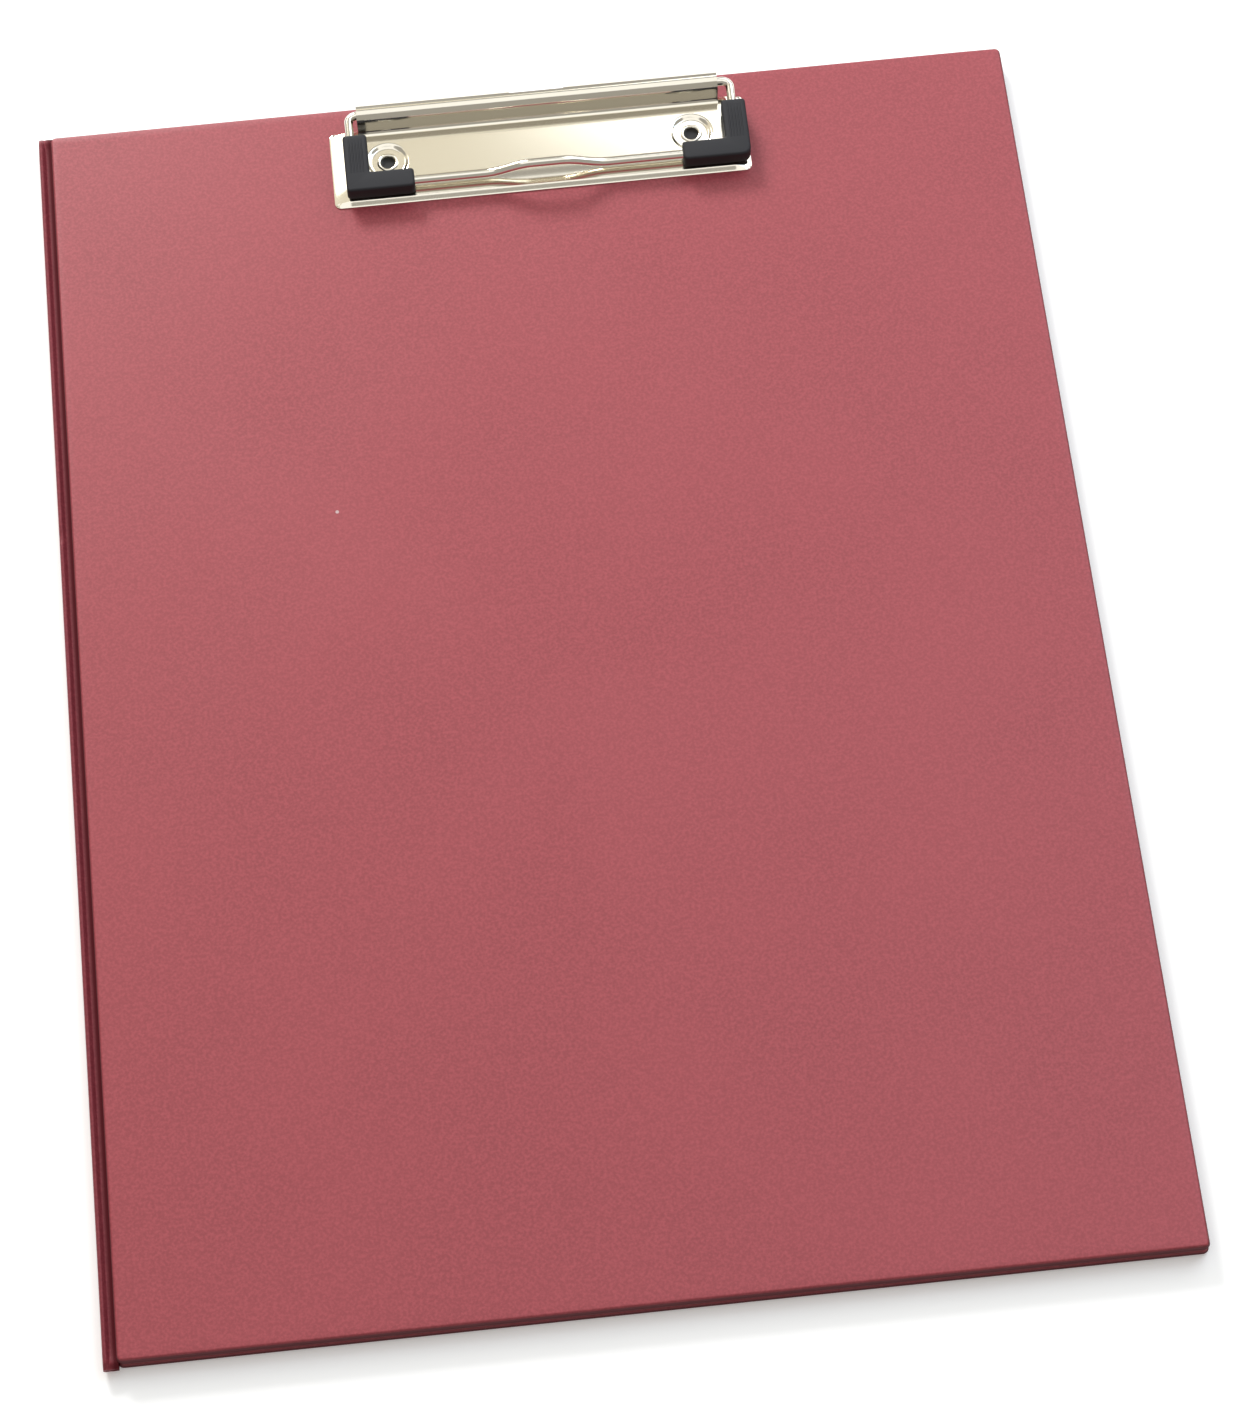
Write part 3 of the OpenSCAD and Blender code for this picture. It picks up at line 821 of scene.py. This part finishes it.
def build_plate():
    """The pressed plate: a grid with a square left out round each rivet and filled by a round patch."""
    size = sizes()
    low, high = corners("clip_base")
    deck = deck_height()
    centre_x, half_x = (low[0] + high[0]) / 2, (high[0] - low[0]) / 2
    front, rear = low[1], bow_axis()[1] - size.roll_radius + size.foot_radius
    centre_y, half_y = (front + rear) / 2, (rear - front) / 2
    rivets = rivet_places()[:, :2] - [centre_x, centre_y]
    reach = PATCH_HALF
    fine_x = np.linspace(0, size.end_slope + END_MARGIN, 25)
    fine_y = size.front_slope + FRONT_MARGIN
    open_x = np.concatenate([half_x - fine_x, fine_x - half_x, np.linspace(-half_x, half_x, 61)])
    open_x = open_x[np.abs(open_x[:, None] - rivets[:, 0]).min(axis=1) >= reach]
    patch_x = [np.linspace(x - reach, x + reach, 17) for x, _ in rivets]
    lines_x = np.unique(np.round(np.concatenate([open_x, *patch_x]), 7))
    rivet_y = rivets[0, 1]
    blocks_y = [
        np.linspace(-half_y, fine_y - half_y, 15),
        np.linspace(fine_y - half_y, rivet_y - reach, 4),
        np.linspace(rivet_y - reach, rivet_y + reach, 17),
        np.linspace(rivet_y + reach, half_y - REAR_MARGIN, 4),
        np.linspace(half_y - REAR_MARGIN, half_y, 9),
    ]
    lines_y = np.unique(np.round(np.concatenate(blocks_y), 7))
    x, y = np.meshgrid(lines_x, lines_y, indexing="ij")
    faces = grid_faces(*x.shape)
    middle_x, middle_y = x.ravel()[faces].mean(axis=1), y.ravel()[faces].mean(axis=1)
    flat_points, flat_faces, used = [np.stack([x.ravel(), y.ravel()], axis=1)], [], x.size
    keep = np.ones(len(faces), bool)
    for rivet in rivets:
        keep &= (np.abs(middle_x - rivet[0]) > reach) | (np.abs(middle_y - rivet[1]) > reach)
        near_x = lines_x[np.abs(lines_x - rivet[0]) < reach + 1e-6]
        near_y = lines_y[np.abs(lines_y - rivet[1]) < reach + 1e-6]
        patch = dimple_patch(*rivet, near_x, near_y, size.rivet_barrel + 0.05 * MM, 17)
        flat_faces.append(grid_faces(*patch.shape[:2], wrap_columns=True) + used)
        flat_points.append(patch.reshape(-1, 2))
        used += patch.shape[0] * patch.shape[1]
    flat = np.vstack(flat_points)
    flat, faces = weld(np.pad(flat, ((0, 0), (0, 1))), np.vstack([faces[keep], *flat_faces]))
    height = plate_height(flat[:, 0], flat[:, 1], half_x, half_y, rivets)
    x, y = round_corners(flat[:, 0], flat[:, 1], half_x, half_y, size.plate_corner)
    lift = 0.25 * MM * (1 - height / size.floor_height)
    upper = np.stack([x + centre_x, y + centre_y, deck + height + lift], axis=1)
    lower = upper * [1, 1, 0] + [0, 0, deck] + np.outer(np.maximum(height - size.steel, 0), [0, 0, 1])
    points, faces = closed_shell(upper, faces, lower)
    plate = make_piece("clip_plate", points, faces)
    finish_piece(plate, finish("nickel_plate"), sharp=50.0)
    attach(plate, "board")


def roll_section(wall_y, floor_z, axis):
    """The rear wall and roll seen along X, as its outer and inner line.

    A fillet turns the floor up into the wall, the wall runs up to the roll, and that turns round the axis.
    The window's two edges are given as places along the line.
    """
    size = sizes()
    foot = size.foot_radius
    foot_middle = (wall_y - foot, floor_z + foot)
    wall = np.linspace(floor_z + foot, axis[1], 6)[1:-1]
    start, window_top, window_bottom, end = ROLL_TURNS
    turns = np.concatenate(
        [
            np.linspace(start, window_top, 20),
            np.linspace(window_top, window_bottom, 15)[1:],
            np.linspace(window_bottom, end, 14)[1:],
        ]
    )
    ray = np.stack([np.cos(np.radians(turns)), np.sin(np.radians(turns))], axis=1)

    def line(depth):
        foot_arc = arc(foot_middle, foot + depth, -90, 0, 9)
        wall_line = np.stack([np.full(4, wall_y + depth), wall], axis=1)
        return np.vstack([foot_arc, wall_line, np.asarray(axis) + (size.roll_radius - depth) * ray])

    outer, inner = line(0.0), line(size.steel)
    before_roll = len(outer) - len(turns)
    window = [before_roll + int(np.argmin(np.abs(turns - edge))) for edge in (window_top, window_bottom)]
    return outer, inner, window


def build_roll():
    """The rear wall and the roll: the section carried along X, with the window's quads left out."""
    size = sizes()
    axis = bow_axis()
    roll_low, roll_high = corners("wire_anchor_ends")
    roll_x = (roll_low[0] + roll_high[0]) / 2
    floor_z = deck_height() + size.floor_height
    outer, inner, (first, last) = roll_section(axis[1] - size.roll_radius, floor_z, axis[1:])
    half, gap = size.roll_length / 2, size.window_length / 2
    lines = np.concatenate(
        [np.linspace(-half, -gap, 25), np.linspace(-gap, gap, 13)[1:], np.linspace(gap, half, 25)[1:]]
    )
    shape = (len(lines), len(outer))
    faces = grid_faces(*shape)
    row, column = faces[:, 0] // shape[1], faces[:, 0] % shape[1]
    in_gap = np.abs(lines[row] + lines[row + 1]) / 2 < gap
    faces = faces[~(in_gap & (column >= first) & (column < last))]

    def carried(section):
        x = np.broadcast_to((roll_x + lines)[:, None], shape)
        return np.dstack([x, np.broadcast_to(section[:, 0], shape), np.broadcast_to(section[:, 1], shape)])

    points, faces = closed_shell(carried(outer).reshape(-1, 3), faces, carried(inner).reshape(-1, 3))
    roll = make_piece("clip_hinge_roll", points, faces)
    finish_piece(roll, finish("nickel_plate"), ("clip_base",), sharp=50.0)
    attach(roll, "board")


# ------------------------------------------------------------ rivets


def build_rivets():
    """Hollow rivets: a closed section turned round each rivet's own upright axis.

    The section goes over the rolled head, down the barrel, round the rolled tail and up the bore.
    """
    size = sizes()
    low, high = corners("clip_rivets")
    bore, barrel = size.rivet_bore, size.rivet_barrel
    seat, tail_top = high[2] - size.head_rise, low[2] + size.tail_fall
    head_half, tail_half = (size.rivet_head - bore) / 2, (size.rivet_tail - bore) / 2
    over = arc((0, 0), 1, 180, 0, 13) * [head_half, high[2] - seat] + [bore + head_half, seat]
    under = arc((0, 0), 1, 0, -180, 13) * [tail_half, tail_top - low[2]] + [bore + tail_half, tail_top]
    section = np.vstack(
        [over, [[barrel, seat - 0.05 * MM], [barrel, tail_top + 0.05 * MM]], under]
        + [[[bore, z]] for z in np.linspace(tail_top, seat, 6)[1:-1]]
    )
    turn = np.linspace(0, 2 * np.pi, 48, endpoint=False)[:, None]
    for name, (x, y, _) in zip(("rivet_left", "rivet_right"), rivet_places()):
        radius, z = section[:, 0][None], section[:, 1][None] + 0 * turn
        crimp = 1 + 0.02 * np.sin(5 * turn + x / MM) * (radius > barrel)
        out = radius * crimp
        points = np.stack([x + out * np.cos(turn), y + out * np.sin(turn), z], axis=-1)
        rivet = make_piece(name, points.reshape(-1, 3), grid_faces(*z.shape, True, True))
        finish_piece(rivet, finish("nickel_plate"), ("clip_rivets",), sharp=60.0)
        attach(rivet, "board")


# ------------------------------------------------------------ wire bow


def bow_tilt():
    """The lowered bow's slope down towards the front, and its front run's distance from the hinge axis."""
    low, _ = corners("wire_bow")
    axis = bow_axis()
    radius = wire_radius()
    back, down = axis[1] - (low[1] + radius), axis[2] - (low[2] + radius)
    return math.atan2(down, back), math.hypot(down, back)


def wire_radius():
    """Radius of the wire, from its two inner ends."""
    low, high = corners("wire_anchor_ends")
    return (high[2] - low[2]) / 2


def in_bow_plane(points):
    """Turns points from the bow's own plane about the hinge axis and moves them onto it."""
    tilt, _ = bow_tilt()
    x, y, z = np.moveaxis(np.asarray(points, float), -1, 0)
    cos, sin = math.cos(tilt), math.sin(tilt)
    turned = np.stack([x, y * cos - z * sin, y * sin + z * cos], axis=-1)
    return turned + bow_axis() * [0, 1, 1] + [bow_middle(), 0, 0]


def bow_middle():
    """The middle of the bow along X."""
    low, high = corners("wire_bow")
    return (low[0] + high[0]) / 2


def bow_path():
    """The bow's middle line in its own plane: out of the roll, down a leg, along the front run and back.

    Bends are quarter circles, and the finger lift rises and falls by half a cosine wave.
    """
    size = sizes()
    low, high = corners("wire_bow")
    leg = (high[0] - low[0]) / 2 - wire_radius()
    _, reach = bow_tilt()
    upper = arc((leg - size.hinge_bend, -size.hinge_bend), size.hinge_bend, 90, 0, 12)
    lower = arc((leg - size.corner_bend, size.corner_bend - reach), size.corner_bend, 0, -90, 14)
    start = np.stack([np.linspace(size.wire_start, upper[0, 0], 12)[:-1], np.zeros(11)], axis=1)
    down = np.linspace(upper[-1], lower[0], 10)[1:-1]
    half = np.vstack([start, upper, down, lower])
    run = np.linspace(lower[-1, 0], -lower[-1, 0], 121)[1:-1]
    ramp = np.clip((np.abs(run) - size.lift_flat / 2) / size.lift_ramp, 0, 1)
    lift = size.lift_height * (1 + np.cos(np.pi * ramp)) / 2
    front = np.stack([run, np.full(len(run), -reach), lift], axis=1)
    right = np.pad(half, ((0, 0), (0, 1)))
    return np.vstack([right, front, right[::-1] * [-1, 1, 1]])


def build_wire():
    """The bow and the two inner ends of the wire: round rods along their middle lines."""
    radius = wire_radius()
    points, sides, caps = tube(bow_path(), radius, np.array([0.0, 0.0, 1.0]), 24)
    bow = make_piece("wire_bow_loop", in_bow_plane(points), sides, caps)
    finish_piece(bow, finish("nickel_wire"), ("wire_bow",), sharp=60.0)
    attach(bow, "bow")
    low, high = corners("wire_anchor_ends")
    axis = bow_axis()
    middle = (low[0] + high[0]) / 2
    tail, bend, outer = sizes().wire_tail, sizes().tail_bend, (high[0] - low[0]) / 2
    rod = np.stack([np.linspace(outer, tail + bend, 6)[:-1], np.zeros(5)], axis=1)
    turn = arc((tail + bend, bend), bend, 270, 180, 12)
    end = np.array([[tail, high[1] - axis[1]]])
    line = np.pad(np.vstack([rod, turn, end]), ((0, 0), (0, 1)))
    for name, side in (("wire_end_left", -1), ("wire_end_right", 1)):
        points, sides, caps = tube(line, radius, np.array([0.0, 0.0, 1.0]), 20)
        points = points * [side, 1, 1] + [middle, axis[1], axis[2]]
        blocks = (sides, caps) if side > 0 else (sides[:, ::-1], caps[:, ::-1])
        piece = make_piece(name, points, *blocks)
        finish_piece(piece, finish("nickel_wire"), ("wire_anchor_ends",), sharp=60.0)
        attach(piece, "board")


# ------------------------------------------------------------ corner sleeves


def rounded_polygon(points, radii, steps=6):
    """A polygon with rounded corners: a quadratic Bezier curve joins each corner's two tangent points."""
    points = np.asarray(points, float)
    before, after = np.roll(points, 1, axis=0) - points, np.roll(points, -1, axis=0) - points
    before /= np.linalg.norm(before, axis=1, keepdims=True)
    after /= np.linalg.norm(after, axis=1, keepdims=True)
    half = np.arccos(np.clip((before * after).sum(axis=1), -1, 1)) / 2
    back = np.asarray(radii) / np.tan(half)
    start, end = points + before * back[:, None], points + after * back[:, None]
    share = np.linspace(0, 1, steps)[None, :, None]
    at_start, at_end = (1 - share) ** 2 * start[:, None], share**2 * end[:, None]
    return (at_start + 2 * share * (1 - share) * points[:, None] + at_end).reshape(-1, 2)


def sleeve_outline(run, inset, corner):
    """A sleeve seen from above in the bow's plane, pulled in by inset, with its outer side at x = 0 and the
    radius of its outer corner given."""
    size = sizes()
    _, reach = bow_tilt()
    front = -reach - size.sleeve_depth / 2
    side, width = -inset, size.sleeve_width
    corner_points = [
        (inset - run, front + inset),
        (side, front + inset),
        (side, front + size.sleeve_leg - inset),
        (inset - width, front + size.sleeve_leg - inset),
        (inset - width, front + size.sleeve_depth - inset),
        (inset - run, front + size.sleeve_depth - inset),
    ]
    radii = np.array([1.3 * MM, corner, 0.9 * MM, 0.9 * MM, 0.6 * MM, 0.9 * MM])
    inward = np.array([-1, -1, -1, -1, 1, -1])
    return rounded_polygon(corner_points, np.maximum(radii + inset * inward, 0.15 * MM))


def sleeve_ribs():
    """Low ribs along a leg's upper face: half-ellipses carried along the leg, sunk at both ends."""
    size = sizes()
    _, reach = bow_tilt()
    front = -reach - size.sleeve_depth / 2
    radius, sunk, foot, margin = 0.22 * MM, 0.05 * MM, 0.12 * MM, 1.2 * MM
    middles = -size.sleeve_width / 2 + np.linspace(-1.5, 1.5, 5)[:, None, None] * MM
    turn = np.linspace(0, np.pi, 7)[None, None, :]
    share = np.linspace(0, 1, 9)[None, :, None]
    rise = np.sin(np.pi * np.clip(share, 0.02, 0.98)) ** 0.3
    x = middles + radius * np.cos(turn) + 0 * share
    y = front + size.sleeve_depth + share * (size.sleeve_leg - size.sleeve_depth - margin) + 0 * x
    z = size.sleeve_height / 2 - sunk + radius * np.sin(turn) * rise + 0 * x
    upper = np.stack([x, y, z], axis=-1)
    lower = upper.copy()
    lower[..., 2] = size.sleeve_height / 2 - foot
    return upper, lower


def sleeve(name, side, outer_x, run, corner):
    """A corner sleeve: its outline in layers that draw in at the upper and lower edges, and its ribs."""
    size = sizes()
    turn = np.radians(np.linspace(0, 90, 6))
    half, edge = size.sleeve_height / 2, size.sleeve_edge
    drawn_in = np.concatenate([0.5 * edge * (1 - np.sin(turn)), edge * (1 - np.cos(turn))])
    level = np.concatenate([-half + 0.5 * edge * (1 - np.cos(turn)), half - edge * (1 - np.sin(turn))])
    rings = np.stack([sleeve_outline(run, inset, corner) for inset in drawn_in])
    layers = np.dstack([rings, np.broadcast_to(level[:, None], rings.shape[:2])])
    count, around = layers.shape[:2]
    points = layers.reshape(-1, 3)
    faces = grid_faces(count, around, wrap_columns=True)[:, ::-1]
    step = np.arange(around)
    caps = np.stack([step[::-1], (count - 1) * around + step])
    upper, lower = sleeve_ribs()
    for high_side, low_side in zip(upper, lower):
        rib, rib_faces = closed_shell(
            high_side.reshape(-1, 3), grid_faces(*high_side.shape[:2]), low_side.reshape(-1, 3)
        )
        faces = np.vstack([faces, rib_faces + len(points)])
        points = np.vstack([points, rib])
    points = points * [side, 1, 1] + [outer_x - bow_middle(), 0, 0]
    if side < 0:
        faces, caps = faces[:, ::-1], caps[:, ::-1]
    piece = make_piece(name, in_bow_plane(points), faces, caps)
    finish_piece(piece, finish("black_plastic"), (name.replace("_cap", ""),), sharp=38.0)
    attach(piece, "bow")


def build_sleeves():
    """Both corner sleeves, each from its own outer side inwards."""
    size = sizes()
    low, high = corners("left_sleeve")
    sleeve("left_sleeve_cap", -1, low[0], high[0] - low[0], size.left_corner)
    low, high = corners("right_sleeve")
    sleeve("right_sleeve_cap", 1, high[0], high[0] - low[0], size.right_corner)


# ------------------------------------------------------------ stage


def add_area_light(name, place, aim, width, height, brightness, tone):
    """A rectangular light of a given surface brightness, turned towards a point."""
    data = bpy.data.lights.new(name, "AREA")
    data.shape = "RECTANGLE"
    data.size, data.size_y = width, height
    data.energy = brightness * math.pi * width * height
    data.color = tone
    light = bpy.data.objects.new(name, data)
    light.location = place
    light.rotation_euler = (Vector(aim) - Vector(place)).to_track_quat("-Z", "Y").to_euler()
    bpy.context.scene.collection.objects.link(light)


def build_stage():
    """Floor, world, soft lights and camera."""
    plane = FLOOR_HALF * np.array([[-1, -1, 0], [1, -1, 0], [1, 1, 0], [-1, 1, 0]])
    floor = make_piece("floor", plane, np.array([[0, 1, 2, 3]]))
    material, tree, shader, where = start_material("pale_floor")
    cloud = noise(tree, where, 3.0, 2.0)
    pale = colours().floor
    tree.links.new(tint(tree, cloud, pale, [min(1.0, 1.01 * c) for c in pale]), shader.inputs["Base Color"])
    shader.inputs["Roughness"].default_value = 0.9
    shader.inputs["Specular IOR Level"].default_value = 0.1
    shader.inputs["Emission Color"].default_value = (1.0, 1.0, 1.0, 1.0)
    shader.inputs["Emission Strength"].default_value = FLOOR_GLOW
    floor.data.materials.append(material)
    world = bpy.data.worlds.new("soft_room")
    world.use_nodes = True
    background = world.node_tree.nodes["Background"]
    background.inputs["Color"].default_value = (*colours().room, 1.0)
    background.inputs["Strength"].default_value = ROOM_STRENGTH
    bpy.context.scene.world = world
    for light in LIGHTS:
        add_area_light(*light)
    settings = bpy.context.scene.clipboard_camera
    data = bpy.data.cameras.new("camera")
    data.lens = settings.lens
    data.sensor_width = SENSOR_WIDTH
    data.clip_start = 0.01
    camera = bpy.data.objects.new("camera", data)
    camera.location = settings.place
    camera.rotation_euler = settings.turn
    bpy.context.scene.collection.objects.link(camera)
    bpy.context.scene.camera = camera
    bpy.context.scene.view_settings.view_transform = "Standard"


# ------------------------------------------------------------ operators and panel


class CLIPBOARD_OT_panels(bpy.types.Operator):
    """Build the vinyl of the clip panel and of the cover"""

    bl_idname = "clipboard.panels"
    bl_label = "Panels"

    def execute(self, context):
        build_panels()
        return {"FINISHED"}


class CLIPBOARD_OT_spine(bpy.types.Operator):
    """Build the soft spine between the two panels"""

    bl_idname = "clipboard.spine"
    bl_label = "Spine"

    def execute(self, context):
        build_spine()
        return {"FINISHED"}


class CLIPBOARD_OT_clip_base(bpy.types.Operator):
    """Build the clip's pressed plate and its hinge roll"""

    bl_idname = "clipboard.clip_base"
    bl_label = "Clip base"

    def execute(self, context):
        build_plate()
        build_roll()
        return {"FINISHED"}


class CLIPBOARD_OT_rivets(bpy.types.Operator):
    """Build the two hollow rivets"""

    bl_idname = "clipboard.rivets"
    bl_label = "Rivets"

    def execute(self, context):
        build_rivets()
        return {"FINISHED"}


class CLIPBOARD_OT_wire(bpy.types.Operator):
    """Build the wire bow and the wire's two inner ends"""

    bl_idname = "clipboard.wire"
    bl_label = "Wire"

    def execute(self, context):
        build_wire()
        return {"FINISHED"}


class CLIPBOARD_OT_sleeves(bpy.types.Operator):
    """Build the two plastic corner sleeves"""

    bl_idname = "clipboard.sleeves"
    bl_label = "Corner sleeves"

    def execute(self, context):
        build_sleeves()
        return {"FINISHED"}


class CLIPBOARD_OT_stage(bpy.types.Operator):
    """Build the floor, the lights and the camera"""

    bl_idname = "clipboard.stage"
    bl_label = "Stage"

    def execute(self, context):
        build_stage()
        return {"FINISHED"}


OPERATORS = (
    CLIPBOARD_OT_panels,
    CLIPBOARD_OT_spine,
    CLIPBOARD_OT_clip_base,
    CLIPBOARD_OT_rivets,
    CLIPBOARD_OT_wire,
    CLIPBOARD_OT_sleeves,
    CLIPBOARD_OT_stage,
)


class CLIPBOARD_PT_build(bpy.types.Panel):
    """Lists the clipboard's pieces in the order in which they are built"""

    bl_label = "Clipboard"
    bl_idname = "CLIPBOARD_PT_build"
    bl_space_type = "VIEW_3D"
    bl_region_type = "UI"
    bl_category = "Clipboard"

    def draw(self, context):
        for operator in OPERATORS:
            self.layout.operator(operator.bl_idname)


CLASSES = (ClipboardSizes, ClipboardColours, ClipboardCamera, *OPERATORS, CLIPBOARD_PT_build)


def register():
    for cls in CLASSES:
        bpy.utils.register_class(cls)
    bpy.types.Scene.clipboard_sizes = bpy.props.PointerProperty(type=ClipboardSizes)
    bpy.types.Scene.clipboard_colours = bpy.props.PointerProperty(type=ClipboardColours)
    bpy.types.Scene.clipboard_camera = bpy.props.PointerProperty(type=ClipboardCamera)


def unregister():
    del bpy.types.Scene.clipboard_camera
    del bpy.types.Scene.clipboard_colours
    del bpy.types.Scene.clipboard_sizes
    for cls in reversed(CLASSES):
        bpy.utils.unregister_class(cls)


def main():
    """Builds everything in order."""
    register()
    for operator in OPERATORS:
        group, name = operator.bl_idname.split(".")
        getattr(getattr(bpy.ops, group), name)()


if __name__ == "__main__":
    main()
